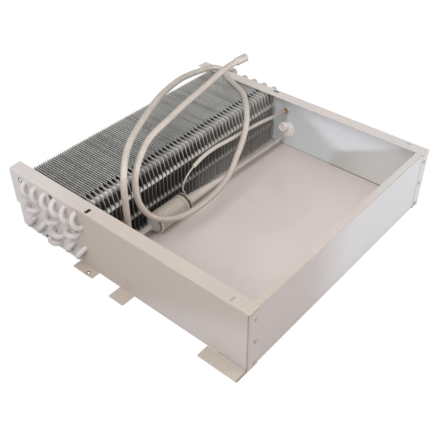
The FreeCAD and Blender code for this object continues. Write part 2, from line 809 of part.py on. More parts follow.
# Suction line: rises from the accumulator, loops over the coil and the bay, and crosses back over the coil
elbowRise = [
    (capEnd, size.accumulator_front, canRise), (capEnd - 18, size.accumulator_front, canRise), (-170, 53, 22),
    (-182, 49, 27), (-187, 45, 36), (-187, 45, 46)]
routedPiece("accumulator_elbow", elbowRise, size.suction_diameter)
suctionRoute = [
    elbowRise[-1], (-187, 45, 75), (-187, 45, 105), (-186, 46, 138), (-175, 55, 162), (-148, 75, 177),
    (-120, 90, 183), (-75, 112, 184), (-23, 139, 180), (15, 158, 175), (55, 175, 168), (101, 192, 160),
    (144, 202, 150), (185, 209, 140), (211, 213, 133), (226, 208, 129), (229, 194, 127), (222, 184, 126),
    (212, 172, 125), (204, 148, 124), (195, 124, 122.5), (184, 104, 122), (165, 85, 122), (140, 62, 121),
    (121, 47, 110), (104, 39, 96), (82, 30, 84), (62, 25, 72), (46, 19, 62), (20, 13, 53), (-12, 9, 47),
    (-45, 8, 44), (-76, 9, 43), (-101, 15, 43), (-122, 26, 46), (-139, 36, 56), (-150, 43, 72),
    (-156, 49, 90), (-157, 52, 110), (-152, 58, 130), (-140, 64, 145), (-122, 72, 156), (-94, 84, 165),
    (-65, 89, 170), (-30, 94, 173), (11, 103, 175), (45, 107, 178), (80, 111, 181), (122, 118, 184),
    (160, 122, 187), (200.8, 114.5, 191)]
routedPiece("suction_line", suctionRoute, size.suction_diameter, lineEasing, (
    size.socket_diameter, size.socket_length, size.socket_bore, size.socket_depth))

# Connecting pipe along the floor, from the cone to the outlet port
tipRise = canRise - size.cone_drop
routedPiece("connecting_pipe", [
    (coneTip, size.accumulator_front, tipRise), (coneTip + 20, size.accumulator_front, tipRise),
    (plateInner - 60, size.outlet_port_front, size.outlet_port_rise),
    (legEnd, size.outlet_port_front, size.outlet_port_rise)], size.connecting_diameter)

# Inlet sleeve from the inlet port, and the capillary tube that feeds it
sleeveRoute = [
    (legEnd, size.inlet_port_front, size.inlet_port_rise),
    (plateInner - 14, size.inlet_port_front, size.inlet_port_rise), (216, 47.5, 83), (187.5, 49, 87),
    (159.5, 50, 90), (132, 50, 92.6), (100, 50, 94.5), (70, 50, 97), (40, 50, 100), (12, 50, 99.5),
    (-6, 50, 96), (-22.5, 50, 90)]
routedPiece("inlet_sleeve", sleeveRoute, size.sleeve_diameter)
capillaryRoute = [
    sleeveRoute[-1], (-34.5, 50, 84.5), (-45, 50, 75), (-51, 50, 65), (-52, 50, 56), (-46, 50.5, 47),
    (ringEnd - size.capillary_diameter, 51, canRise + bandRadius)]
routedPiece("capillary_tube", capillaryRoute, size.capillary_diameter)

doc.recompute()
for made in doc.Objects:
    if "Invalid" in made.State or "Error" in made.State:
        raise RuntimeError(f"{made.Label} failed: {made.State}")
for made in parts:
    if made.Shape.isNull() or not made.Shape.isValid():
        raise RuntimeError(f"{made.Label} has no valid shape")
os.makedirs("parts", exist_ok=True)
for made in parts:
    made.Shape.exportStep(f"parts/{made.Label}.step")
print(len(parts), "pieces written")
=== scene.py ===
import json
import math

import bmesh
import bpy
from mathutils import Matrix, Vector

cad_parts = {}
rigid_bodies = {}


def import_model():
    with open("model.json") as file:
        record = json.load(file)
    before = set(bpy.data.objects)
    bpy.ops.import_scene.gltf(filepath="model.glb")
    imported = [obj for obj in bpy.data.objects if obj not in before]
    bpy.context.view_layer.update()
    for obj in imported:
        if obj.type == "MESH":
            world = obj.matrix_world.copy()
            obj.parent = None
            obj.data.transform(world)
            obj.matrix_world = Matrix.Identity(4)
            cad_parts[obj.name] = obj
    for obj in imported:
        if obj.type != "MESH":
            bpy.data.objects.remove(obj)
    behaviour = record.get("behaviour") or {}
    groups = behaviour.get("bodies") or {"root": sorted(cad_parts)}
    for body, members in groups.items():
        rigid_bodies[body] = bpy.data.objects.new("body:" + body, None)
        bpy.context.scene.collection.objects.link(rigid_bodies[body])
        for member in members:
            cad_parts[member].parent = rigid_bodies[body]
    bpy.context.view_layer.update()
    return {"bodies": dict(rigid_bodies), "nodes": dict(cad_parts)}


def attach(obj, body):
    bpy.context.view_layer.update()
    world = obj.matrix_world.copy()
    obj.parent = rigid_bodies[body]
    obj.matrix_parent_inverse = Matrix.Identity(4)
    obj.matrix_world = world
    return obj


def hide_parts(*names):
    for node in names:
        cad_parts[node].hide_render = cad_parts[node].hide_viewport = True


# A refrigerator evaporator: finned coil in an open sheet-metal tray, with its accumulator and pipes.
# Metres, in the frame's own axes: X along the coil tubes, Y from the front wall to the open back, Z up.

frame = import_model()
bodyName = list(frame["bodies"])[0]
mm = 0.001
print("frame loaded with", len(frame["nodes"]), "nodes on", bodyName)


# Shader maths: a socket with the arithmetic that adds Math nodes
class Value:
    def __init__(self, shader, socket):
        self.shader = shader
        self.socket = socket

    def __add__(self, other):
        return self.shader.maths("ADD", self, other)

    def __radd__(self, other):
        return self.shader.maths("ADD", other, self)

    def __sub__(self, other):
        return self.shader.maths("SUBTRACT", self, other)

    def __rsub__(self, other):
        return self.shader.maths("SUBTRACT", other, self)

    def __mul__(self, other):
        return self.shader.maths("MULTIPLY", self, other)

    def __rmul__(self, other):
        return self.shader.maths("MULTIPLY", other, self)

    def __gt__(self, other):
        return self.shader.maths("GREATER_THAN", self, other)

    def __lt__(self, other):
        return self.shader.maths("LESS_THAN", self, other)


# The nodes of a material or a world under construction
class Shader:
    def __init__(self, owner):
        owner.use_nodes = True
        self.owner = owner
        self.tree = owner.node_tree

    # Adds a node: its settings first, then the values or links of its sockets
    def node(self, kind, settings=None, inputs=None, output=0):
        made = self.tree.nodes.new(kind)
        for setting, choice in (settings or {}).items():
            setattr(made, setting, choice)
        for socket, content in (inputs or {}).items():
            self.feed(made.inputs[socket], content)
        return Value(self, made.outputs[output])

    def feed(self, socket, content):
        if isinstance(content, Value):
            self.tree.links.new(content.socket, socket)
        elif socket.type == "RGBA":
            socket.default_value = (*content, 1.0)
        else:
            socket.default_value = content

    def maths(self, operation, a, b=0.0):
        return self.node("ShaderNodeMath", {"operation": operation}, {0: a, 1: b})

    def place(self):
        return self.node("ShaderNodeTexCoord", output="Object")

    def axes(self):
        place = self.place()
        return [self.node("ShaderNodeSeparateXYZ", inputs={0: place}, output=axis) for axis in "XYZ"]

    def noise(self, scale, detail=3.0, roughness=0.55, stretch=(1, 1, 1)):
        vector = self.node("ShaderNodeMapping", inputs={"Vector": self.place(), "Scale": stretch})
        return self.node("ShaderNodeTexNoise", inputs={
            "Vector": vector, "Scale": scale, "Detail": detail, "Roughness": roughness}, output="Fac")

    # Goes smoothly from floor at low to ceiling at high
    def step(self, amount, low, high, floor=0.0, ceiling=1.0):
        return self.node("ShaderNodeMapRange", {"interpolation_type": "SMOOTHSTEP"}, {
            "Value": amount, "From Min": low, "From Max": high, "To Min": floor, "To Max": ceiling})

    # The Mix node's sockets for colours are 6 and 7, and its colour comes out of 2
    def mix(self, factor, first, second):
        return self.node("ShaderNodeMix", {"data_type": "RGBA"}, {0: factor, 6: first, 7: second}, 2)

    def bump(self, height, distance, strength, normal=None):
        inputs = {"Height": height, "Distance": distance, "Strength": strength}
        if normal is not None:
            inputs["Normal"] = normal
        return self.node("ShaderNodeBump", inputs=inputs)

    # Feeds a material's surface, with _ for the spaces in its sockets' names
    def finish(self, **sockets):
        surface = self.tree.nodes["Principled BSDF"]
        for name, content in sockets.items():
            self.feed(surface.inputs[name.replace("_", " ")], content)
        return self.owner


def newShader(name):
    return Shader(bpy.data.materials.new(name))


# Colours are written as they show on screen, 0 to 255
def shade(red, green, blue):
    screen = [channel / 255 for channel in (red, green, blue)]
    return tuple(((c + 0.055) / 1.055) ** 2.4 if c > 0.04045 else c / 12.92 for c in screen)


halfWidth, halfDepth, flangeTop = 250 * mm, 253 * mm, 116.6 * mm
enamelFinish = {
    "plate": shade(200, 188, 179), "plateDeep": shade(195, 183, 173), "plateCool": shade(214, 206, 202),
    "web": shade(195, 182, 173), "webCool": shade(208, 198, 195), "tab": shade(191, 180, 169),
    "frost": shade(226, 222, 221), "frostLow": shade(216, 208, 204), "strip": shade(187, 176, 171),
    "inner": shade(221, 225, 229), "innerDeep": shade(215, 219, 222), "innerReflection": shade(245, 249, 255),
    "innerShade": shade(201, 203, 199), "innerFar": shade(224, 223, 221), "lap": shade(205, 203, 201),
    "warm": shade(215, 206, 200), "warmNear": shade(210, 204, 200),
    "front": shade(205, 195, 190), "frontTop": shade(207, 203, 199), "frontLeft": shade(187, 175, 172),
    "frontMiddle": shade(205, 203, 204), "frontRight": shade(205, 205, 207),
    "floor": shade(217, 206, 202), "floorDeep": shade(211, 199, 195), "floorNear": shade(229, 218, 214),
    "crease": shade(104, 90, 80), "holeShade": shade(52, 44, 38), "smudge": shade(150, 138, 128),
    "dust": shade(120, 108, 98), "roughness": 0.33,
}
# Each noise in the enamel: scale, detail, roughness and stretch
enamelGrain = {
    "cloud": (6.0, 4.0), "smudge": (23.0, 5.0, 0.65, (1.0, 1.0, 2.5)), "speck": (420.0, 2.0, 0.5),
    "peel": (900.0, 2.0, 0.5), "dent": (9.0, 2.0, 0.4),
}


# Off-white enamel on the sheet metal: orange peel, faint smudges, dust specks and the marks of its own piece
def enamel(name, base, deep, marks):
    shader = newShader(name)
    grain = {kind: shader.noise(*settings) for kind, settings in enamelGrain.items()}
    colour = shader.mix(shader.step(grain["cloud"], 0.35, 0.7), enamelFinish[base], enamelFinish[deep])
    colour = marks(shader, colour, grain["cloud"])
    colour = shader.mix(shader.step(grain["smudge"], 0.58, 0.75, 0.0, 0.12), colour, enamelFinish["smudge"])
    colour = shader.mix(shader.step(grain["speck"], 0.72, 0.78, 0.0, 0.3), colour, enamelFinish["dust"])
    gloss = enamelFinish["roughness"]
    rough = shader.step(grain["smudge"], 0.3, 0.75, gloss - 0.05, gloss + 0.12)
    normal = shader.bump(grain["peel"], 0.03 * mm, 0.5, shader.bump(grain["dent"], 1.2 * mm, 0.25))
    return shader.finish(Base_Color=colour, Roughness=rough, Normal=normal)


# Painted shade round a hole, for its dark inside: a spot is the hole's place across and up the face, and how
# far the shade reaches
def holeShade(shader, across, up, spot):
    place, rise, reach = spot
    gapAcross, gapUp = across - place, up - rise
    distance = shader.maths("SQRT", gapAcross * gapAcross + gapUp * gapUp)
    return shader.step(distance, reach * 0.8, reach, 0.85, 0.0)


# Where the marks lie: of two places a mark starts at one and is full at the other, and two more numbers
# after them are its strengths there
leftFace = {
    "outer": -halfWidth + 0.3 * mm, "under": flangeTop - 1.2 * mm, "tabs": -halfWidth - 1.2 * mm,
    "cool": (10 * mm, 200 * mm), "low": (-40 * mm, 110 * mm), "lowSlope": 2.4,
    "frost": (84 * mm, 118 * mm), "frostWave": 50 * mm, "frostLow": (40 * mm, 150 * mm),
    "rearHole": (232 * mm, 103.4 * mm, 5.6 * mm), "middleHole": (152.4 * mm, 107 * mm, 5.2 * mm),
    "lowHole": (97.5 * mm, 66.4 * mm, 4.6 * mm),
    "slot": (-242 * mm, 70 * mm, 6.6 * mm), "slotHalf": 3.2 * mm,
    "tabHole": (-halfWidth - 11.5 * mm, 68 * mm, 4.6 * mm), "tabHoleShade": 0.7,
    "fold": (1.4 * mm, 3.0 * mm, 0.8, 0.0), "foldFoot": 1.05 * mm, "foldEnd": -200 * mm,
    "strip": -halfDepth + 0.2 * mm, "edge": (-halfDepth + 1.6 * mm, -halfDepth + 4.6 * mm, 0.62, 0.0),
    "lip": (-halfWidth + 0.9 * mm, -halfWidth + 2.6 * mm, 0.55, 0.0), "darkest": 0.85,
}


# Frost on the outer face round the bends, painted shade on that face, round its holes and in the fold at the
# foot of the corner, and a dark corner edge
def leftMarks(shader, colour, cloud):
    x, y, z = shader.axes()
    outer, under, tabs = x < leftFace["outer"], z < leftFace["under"], x < leftFace["tabs"]
    colour = shader.mix(shader.step(y, *leftFace["cool"]), colour, enamelFinish["plateCool"])
    low = shader.step(y * -1.0 - z * leftFace["lowSlope"], *leftFace["low"])
    # The outer face a little darker than the flange: painted shade
    colour = shader.mix(outer * under, colour, shader.mix(low, enamelFinish["web"], enamelFinish["webCool"]))
    colour = shader.mix(tabs, colour, enamelFinish["tab"])
    frost = shader.step(y + (cloud - 0.5) * leftFace["frostWave"], *leftFace["frost"])
    frosted = shader.step(y - z, *leftFace["frostLow"])
    frosted = shader.mix(frosted, enamelFinish["frostLow"], enamelFinish["frost"])
    colour = shader.mix(frost * outer * under * (1 - tabs), colour, frosted)
    # Painted shade round the holes, the slot and the tab hole, for their dark insides
    spots = 0.0
    for hole in ("rearHole", "middleHole", "lowHole"):
        spots = holeShade(shader, y, z, leftFace[hole]) + spots
    colour = shader.mix(spots * outer, colour, enamelFinish["holeShade"])
    alongSlot = shader.maths("ABSOLUTE", y - leftFace["slot"][1]) < leftFace["slotHalf"]
    slot = holeShade(shader, x, y, leftFace["slot"]) * alongSlot
    tabSpot = holeShade(shader, x, y, leftFace["tabHole"]) * leftFace["tabHoleShade"]
    colour = shader.mix(slot + tabSpot, colour, enamelFinish["holeShade"])
    # The front strip darker, like the front wall's painted shade at its left end
    strip = (y < leftFace["strip"]) * under
    colour = shader.mix(strip, colour, enamelFinish["strip"])
    # Painted shade in the fold at the foot of the corner, and a dark corner edge
    fold = shader.step(z, *leftFace["fold"]) * (z > leftFace["foldFoot"]) * outer * (y < leftFace["foldEnd"])
    edge = shader.step(y, *leftFace["edge"]) * outer * under
    lip = shader.step(x, *leftFace["lip"]) * strip
    dark = shader.maths("MINIMUM", fold + edge + lip, leftFace["darkest"])
    return shader.mix(dark, colour, enamelFinish["crease"])


rightFace = {
    "inside": halfWidth - 0.5 * mm, "wave": 20 * mm, "reflectionStreak": (109 * mm, 179 * mm), "streakSlope": 1.7,
    "foot": (-2 * mm, 13 * mm, 1.0, 0.0), "footSlope": 0.46, "footEnd": (-78 * mm, -50 * mm, 1.0, 0.0),
    "dull": (-190 * mm, -70 * mm), "top": flangeTop - 0.4 * mm, "warm": (-230 * mm, -110 * mm),
    "slot": (242 * mm, 70 * mm, 7.4 * mm), "slotHalf": 2.8 * mm,
    "rim": (halfWidth - 1.6 * mm, halfWidth - 0.4 * mm, 0.0, 0.45), "seam": (1.6 * mm, 3.4 * mm, 0.45, 0.0),
    "frontSeam": (1.8 * mm, 3.8 * mm, 0.4, 0.0), "frontSeamEnd": -62 * mm,
    "lap": -halfDepth + 0.2 * mm, "lapTop": flangeTop - 1.0 * mm,
}


# Inside a painted reflection streak, painted shade at the foot and along the seams on the floor, and a warmer
# top flange with painted shade on its edge
def rightMarks(shader, colour, cloud):
    x, y, z = shader.axes()
    wave = (cloud - 0.5) * rightFace["wave"]
    # Painted reflection: a bright streak across the inner face
    reflectionStreak = shader.step(y * -1.0 + z * rightFace["streakSlope"] + wave, *rightFace["reflectionStreak"])
    inside = shader.mix(reflectionStreak, colour, enamelFinish["innerReflection"])
    # Painted shade at the foot of the inner face
    foot = shader.step(z + y * rightFace["footSlope"] + wave, *rightFace["foot"])
    foot = foot * shader.step(y, *rightFace["footEnd"])
    dull = shader.step(y, *rightFace["dull"])
    dull = shader.mix(dull, enamelFinish["innerFar"], enamelFinish["innerShade"])
    inside = shader.mix(foot, inside, dull)
    colour = shader.mix(x < rightFace["inside"], colour, inside)
    top = z > rightFace["top"]
    warm = shader.mix(shader.step(y, *rightFace["warm"]), enamelFinish["warmNear"], enamelFinish["warm"])
    colour = shader.mix(top, colour, warm)
    # Painted shade round the flange's slot
    acrossSlot = shader.maths("ABSOLUTE", x - rightFace["slot"][0]) < rightFace["slotHalf"]
    slot = holeShade(shader, x, y, rightFace["slot"]) * acrossSlot
    colour = shader.mix(slot * top, colour, enamelFinish["holeShade"])
    lap = (y < rightFace["lap"]) * (z < rightFace["lapTop"])
    colour = shader.mix(lap, colour, enamelFinish["lap"])
    # Painted shade on the flange's rounded outer edge and along the seams on the floor
    rim = shader.step(x, *rightFace["rim"]) * top
    frontSeam = shader.step(z, *rightFace["frontSeam"]) * (y < rightFace["frontSeamEnd"])
    seam = shader.step(z, *rightFace["seam"]) + frontSeam
    return shader.mix(rim + seam, colour, enamelFinish["crease"])


frontFace = {
    "outer": -halfDepth + 1.3 * mm, "under": flangeTop - 0.3 * mm, "top": (-60 * mm, 200 * mm),
    "middle": (-130 * mm, 20 * mm), "right": (20 * mm, 200 * mm), "seam": (1.2 * mm, 2.6 * mm, 0.5, 0.0),
    "bend": -halfDepth + 2.6 * mm, "bendFoot": flangeTop - 2.0 * mm, "bendShade": 0.6,
}


# Painted light on the outer face and flange, paler towards the right, painted shade on the bend between them
# and along the seam inside
def frontMarks(shader, colour, cloud):
    x, y, z = shader.axes()
    outer = y < frontFace["outer"]
    # Painted light: the flange and outer face paler towards the right
    colour = shader.mix(shader.step(x, *frontFace["top"]), colour, enamelFinish["frontTop"])
    face = shader.step(x, *frontFace["middle"])
    face = shader.mix(face, enamelFinish["frontLeft"], enamelFinish["frontMiddle"])
    face = shader.mix(shader.step(x, *frontFace["right"]), face, enamelFinish["frontRight"])
    colour = shader.mix(outer * (z < frontFace["under"]), colour, face)
    # Painted shade on the bend between face and flange
    bend = (y < frontFace["bend"]) * (z > frontFace["bendFoot"])
    colour = shader.mix(bend * frontFace["bendShade"], colour, enamelFinish["smudge"])
    # Painted shade along the seam inside, where the wall meets the floor
    seam = shader.step(z, *frontFace["seam"]) * (1 - outer)
    return shader.mix(seam, colour, enamelFinish["crease"])


floorFace = {
    "near": (-220 * mm, 20 * mm, 1.0, 0.0), "nearWave": 100 * mm, "side": (110 * mm, 225 * mm, 1.0, 0.3),
}


# Floor a little paler towards the front, less so by the right plate: painted light
def floorMarks(shader, colour, cloud):
    x, y = shader.axes()[:2]
    near = shader.step(y + (cloud - 0.5) * floorFace["nearWave"], *floorFace["near"])
    return shader.mix(near * shader.step(x, *floorFace["side"]), colour, enamelFinish["floorNear"])


leftEnamel = enamel("left plate enamel", "plate", "plateDeep", leftMarks)
rightEnamel = enamel("right plate enamel", "inner", "innerDeep", rightMarks)
frontEnamel = enamel("front wall enamel", "front", "plateDeep", frontMarks)
floorEnamel = enamel("floor enamel", "floor", "floorDeep", floorMarks)

# Fins: long ones that lean back a little over the first tubes, and short ones set back between them
finRanks = {
    "gauge": 0.3 * mm, "pitch": 9.15 * mm, "count": 53, "foot": 6.5 * mm, "head": 114.8 * mm,
    "front": 74 * mm, "rear": 231 * mm, "corner": 5.5 * mm, "lean": 6 * mm, "leanFoot": 88 * mm,
    "setback": 32 * mm, "shortCorner": 3 * mm,
    "collar": 0.9 * mm, "collarFoot": 1.1 * mm, "collarHead": 0.5 * mm, "collarSides": 12,
    "nestCentre": (55 * mm, 21 * mm), "nestRadius": 20.3 * mm, "nestLeft": -132 * mm, "nestRight": -36 * mm,
    "nestSteps": 12, "cornerSteps": 6,
}
# Where the fins carry painted highlights and painted shade, in the way of the enamel's marks, and their
# colours
finFinish = {
    "edge": shade(240, 240, 237), "edgeDull": shade(225, 224, 220), "grain": shade(130, 128, 124),
    "strip": (98 * mm, 112 * mm, 1 / (2.4 * mm), 1 / (4.4 * mm)),  # the painted highlight strip is wider along the top
    "bright": (0.15, 1.0, 1.0, 0.0), "lit": (62 * mm, 100 * mm, 0.25, 0.75),
    "litTop": (104 * mm, 110 * mm, 0.0, 0.25),
    "deep": shade(80, 78, 74), "deepRight": shade(160, 160, 157),
    "bounceLight": (-20 * mm, 210 * mm), "bounceWave": 60 * mm,
    "foot": shade(190, 187, 183), "footSide": (-60 * mm, 70 * mm), "footRise": (22 * mm, 62 * mm, 0.9, 0.0),
    "tubeLight": shade(186, 184, 179), "tubeFront": 84 * mm, "tubeBack": (99 * mm, 102 * mm, 1.0, 0.0),
    "tubeTop": 102 * mm,
    "gap": shade(44, 42, 40), "gapFront": 102 * mm, "gapBack": 112 * mm, "gapFoot": 100 * mm,
    "singly": shade(120, 118, 114), "singleNoise": (160.0, 2.0, 0.5, (1.0, 0.02, 0.02)),
}


# Thin fin stock: painted highlight where the edges stand free, painted shade deeper between the sheets
def finStock(name, front, corner, lean):
    shader = newShader(name)
    x, y, z = shader.axes()
    grain = shader.noise(900.0, 3.0, 0.6, (1.0, 0.06, 1.0))
    cloud = shader.noise(35.0, 4.0, 0.6)
    # Distance in from the front and top edges, round the rounded corner
    inward = y - (front + shader.step(z, finRanks["leanFoot"], finRanks["head"] - corner, 0.0, lean))
    downward = finRanks["head"] - z
    short = shader.maths("MAXIMUM", corner - inward, 0.0)
    low = shader.maths("MAXIMUM", corner - downward, 0.0)
    across = shader.maths("SQRT", short * short + low * low)
    nearer = shader.maths("MINIMUM", inward, downward)
    depth = shader.maths("MAXIMUM", nearer * (nearer > corner), (corner - across) * (nearer < corner))
    bright = shader.step(depth * shader.step(z, *finFinish["strip"]), *finFinish["bright"])
    lit = shader.step(z, *finFinish["lit"]) + shader.step(z, *finFinish["litTop"])
    edge = shader.mix(shader.step(cloud, 0.3, 0.75), finFinish["edge"], finFinish["edgeDull"])
    # Painted light bounced from the floor: the deep colour paler towards the right and low down
    bounceLight = shader.step(x + (cloud - 0.5) * finFinish["bounceWave"], *finFinish["bounceLight"])
    deep = shader.mix(bounceLight, finFinish["deep"], finFinish["deepRight"])
    foot = shader.step(x, *finFinish["footSide"]) * shader.step(z, *finFinish["footRise"])
    deep = shader.mix(foot, deep, finFinish["foot"])
    if lean:  # painted light from the first tubes' backs, then painted shade in the gap before the short fins
        light = shader.step(y, *finFinish["tubeBack"]) * (y > finFinish["tubeFront"])
        deep = shader.mix(light * (z > finFinish["tubeTop"]), deep, finFinish["tubeLight"])
        gap = (y > finFinish["gapFront"]) * (y < finFinish["gapBack"]) * (z > finFinish["gapFoot"])
        deep = shader.mix(gap, deep, finFinish["gap"])
    colour = shader.mix(bright * lit, deep, edge)
    singly = shader.noise(*finFinish["singleNoise"])  # stretched over each sheet, so some fins are duller
    colour = shader.mix(shader.step(singly, 0.5, 0.62, 0.0, 0.3), colour, finFinish["singly"])
    colour = shader.mix(shader.step(grain, 0.5, 0.7, 0.0, 0.25), colour, finFinish["grain"])
    rough = shader.step(cloud, 0.3, 0.8, 0.34, 0.5)
    normal = shader.bump(grain, 0.05 * mm, 0.4)
    return shader.finish(Base_Color=colour, Metallic=0.15, Roughness=rough, Normal=normal)


# What all tubes have: soft blotches, fine drawing marks and the bump of both
def tubeGrain(shader):
    cloud = shader.noise(40.0, 4.0, 0.6)
    fine = shader.noise(500.0, 3.0, 0.6)
    normal = shader.bump(fine, 0.06 * mm, 0.35, shader.bump(cloud, 0.4 * mm, 0.3))
    return shader.step(cloud, 0.3, 0.72), fine, normal


tubeFinish = {"scratch": shade(140, 128, 118), "low": (45 * mm, 125 * mm, 0.85, 0.0)}


# Drawn aluminium tube with a dull beige skin, and painted shade towards the floor where it hangs low
def tubeSkin(name, base, deep, metallic, roughness, low=None):
    shader = newShader(name)
    blotch, fine, normal = tubeGrain(shader)
    colour = shader.mix(blotch, base, deep)
    # Painted shade low down
    if low:
        colour = shader.mix(shader.step(shader.axes()[2], *tubeFinish["low"]), colour, low)
    colour = shader.mix(shader.step(fine, 0.6, 0.8, 0.0, 0.3), colour, tubeFinish["scratch"])
    rough = shader.step(fine, 0.3, 0.7, roughness - 0.06, roughness + 0.08)
    return shader.finish(Base_Color=colour, Metallic=metallic, Roughness=rough, Normal=normal)


lineSkin = tubeSkin("pipe skin", shade(203, 194, 185), shade(191, 182, 173), 0.1, 0.4, shade(181, 169, 160))
coilSkin = tubeSkin("coil tube skin", shade(206, 202, 197), shade(186, 182, 176), 0.2, 0.4)
coneSkin = tubeSkin("cone skin", shade(214, 204, 196), shade(202, 192, 184), 0.1, 0.4)
bandSkin = tubeSkin("band skin", shade(236, 232, 227), shade(222, 217, 211), 0.1, 0.36)
braze = tubeSkin("braze", shade(168, 128, 78), shade(126, 92, 52), 0.4, 0.42)
grommetRubber = tubeSkin("grommet", shade(252, 244, 240), shade(246, 237, 233), 0.0, 0.45)
paleAlloy = tubeSkin("pale alloy", shade(220, 214, 206), shade(204, 198, 190), 0.15, 0.4)
rivetSkin = tubeSkin("rivet skin", shade(190, 180, 170), shade(160, 148, 138), 0.1, 0.4)
print("materials made")


# Turns a bmesh into a piece that stands for the named nodes
def finishPiece(name, bm, material, nodes, sharp=40):
    bmesh.ops.remove_doubles(bm, verts=bm.verts, dist=0.005 * mm)
    bmesh.ops.recalc_face_normals(bm, faces=bm.faces)
    mesh = bpy.data.meshes.new(name)
    bm.to_mesh(mesh)
    bm.free()
    mesh.materials.append(material)
    mesh.shade_smooth()
    mesh.set_sharp_from_angle(angle=math.radians(sharp))
    piece = bpy.data.objects.new(name, mesh)
    bpy.context.collection.objects.link(piece)
    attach(piece, bodyName)
    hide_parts(*nodes)


def dress(node, material):
    piece = frame["nodes"][node]
    piece.data.materials.clear()
    piece.data.materials.append(material)


def vertsOf(made):
    return [item for item in made if isinstance(item, bmesh.types.BMVert)]


def edgesOf(made):
    return [item for item in made if isinstance(item, bmesh.types.BMEdge)]


# Spins a half outline of points a full turn about an axis through centre
def turnOutline(bm, points, centre, axis, steps):
    verts = [bm.verts.new(point) for point in points]
    edges = [bm.edges.new(pair) for pair in zip(verts, verts[1:])]
    bmesh.ops.spin(
        bm, geom=verts + edges, cent=centre, axis=axis, angle=math.tau, steps=steps, use_merge=True)


# Turns a half outline of (x, radius) about a line along X through centre, a (y, z) pair
def latheAlongX(bm, outline, centre, steps):
    points = [(x, centre[0] + radius, centre[1]) for x, radius in outline]
    turnOutline(bm, points, (0, *centre), (1, 0, 0), steps)


# Casing: the plates, floor and front wall keep their solids and take their enamel
dress("left_side_plate", leftEnamel)
dress("right_side_plate", rightEnamel)
dress("front_wall", frontEnamel)
dress("floor_pan", floorEnamel)
print("casing dressed")

# Coil lattice, as in the frame: rows from the floor, columns from the front
coil = {
    "tubeFront": 81 * mm, "tubeLow": 17.3 * mm, "pitch": 25 * mm, "rise": 21.65 * mm, "stagger": 12.5 * mm,
    "rows": 5, "columns": 6, "radius": 4.76 * mm, "sides": 20, "bendSteps": 16,
    "nearTurn": -249 * mm, "legEnd": 257 * mm, "farTurn": 262.95 * mm,
    "inletPort": (46.5 * mm, 81 * mm), "outletPort": (52 * mm, 15.5 * mm),
}
# Row and column of each tube, from the inlet port to the outlet port
circuit = [
    (4, 1), (5, 1), (4, 2), (5, 2), (4, 3), (5, 3), (4, 4), (5, 4), (4, 5), (5, 5),
    (5, 6), (4, 6), (3, 6), (3, 5), (2, 6), (1, 6), (1, 5), (2, 5), (1, 4), (1, 3),
    (2, 3), (2, 4), (3, 4), (3, 3), (3, 2), (3, 1), (2, 2), (1, 2), (1, 1), (2, 1)]


def tubeAt(row, column):
    stagger = coil["stagger"] if row % 2 else 0
    y = coil["tubeFront"] + stagger + (column - 1) * coil["pitch"]
    z = coil["tubeLow"] + (row - 1) * coil["rise"]
    return y, z


# Draws open edges out along X
def drawOut(bm, edges, length):
    made = bmesh.ops.extrude_edge_only(bm, edges=edges)["geom"]
    bmesh.ops.translate(bm, verts=vertsOf(made), vec=(length, 0, 0))
    return edgesOf(made)


# U-shaped tube: a ring of vertices is drawn out, spun through a half turn and drawn back
def uTube(bm, first, second, turnCentre, side):
    length = turnCentre - coil["legEnd"]
    gap = Vector((0, second[0] - first[0], second[1] - first[1]))
    middle = Vector((turnCentre, (first[0] + second[0]) / 2, (first[1] + second[1]) / 2))
    ring = bmesh.ops.create_circle(bm, segments=coil["sides"], radius=coil["radius"], matrix=(
        Matrix.Translation((coil["legEnd"], *first)) @ Matrix.Rotation(math.pi / 2, 4, "Y")))["verts"]
    edges = list({edge for vert in ring for edge in vert.link_edges})
    bmesh.ops.edgeloop_fill(bm, edges=edges)
    edges = drawOut(bm, edges, length)
    axis = gap.normalized().cross(Vector((side, 0, 0)))
    bend = bmesh.ops.spin(bm, geom=edges, cent=middle, axis=axis, angle=-math.pi, steps=coil["bendSteps"])
    edges = drawOut(bm, edgesOf(bend["geom_last"]), -length)
    bmesh.ops.edgeloop_fill(bm, edges=edges)


hairpinColours = {
    "bare": shade(222, 217, 210), "bareDeep": shade(206, 201, 194), "bareShaded": shade(126, 120, 114),
    "low": (30 * mm, 84 * mm, 0.85, 0.0),
    "frosted": shade(217, 210, 208), "frostedDeep": shade(204, 197, 195),
    "outside": (-halfWidth, -halfWidth + 2 * mm, 1.0, 0.0),
}


# The hairpins are frosted outside the left plate, and bare between the fins, where the low ones carry painted
# shade
def hairpinSkin():
    shader = newShader("hairpin skin")
    x, z = shader.axes()[::2]
    outside = shader.step(x, *hairpinColours["outside"])
    blotch, fine, normal = tubeGrain(shader)
    bare = shader.mix(blotch, hairpinColours["bare"], hairpinColours["bareDeep"])
    # Painted shade on the low hairpins between the fins
    bare = shader.mix(shader.step(z, *hairpinColours["low"]), bare, hairpinColours["bareShaded"])
    frosted = shader.mix(blotch, hairpinColours["frosted"], hairpinColours["frostedDeep"])
    colour = shader.mix(outside, bare, frosted)
    rough = 0.38 + outside * 0.2
    return shader.finish(Base_Color=colour, Metallic=0.08 - outside * 0.06, Roughness=rough, Normal=normal)


def coilPiece(name, first, second, turnCentre, side, material, node):
    bm = bmesh.new()
    uTube(bm, first, second, turnCentre, side)
    finishPiece(name, bm, material, [node])


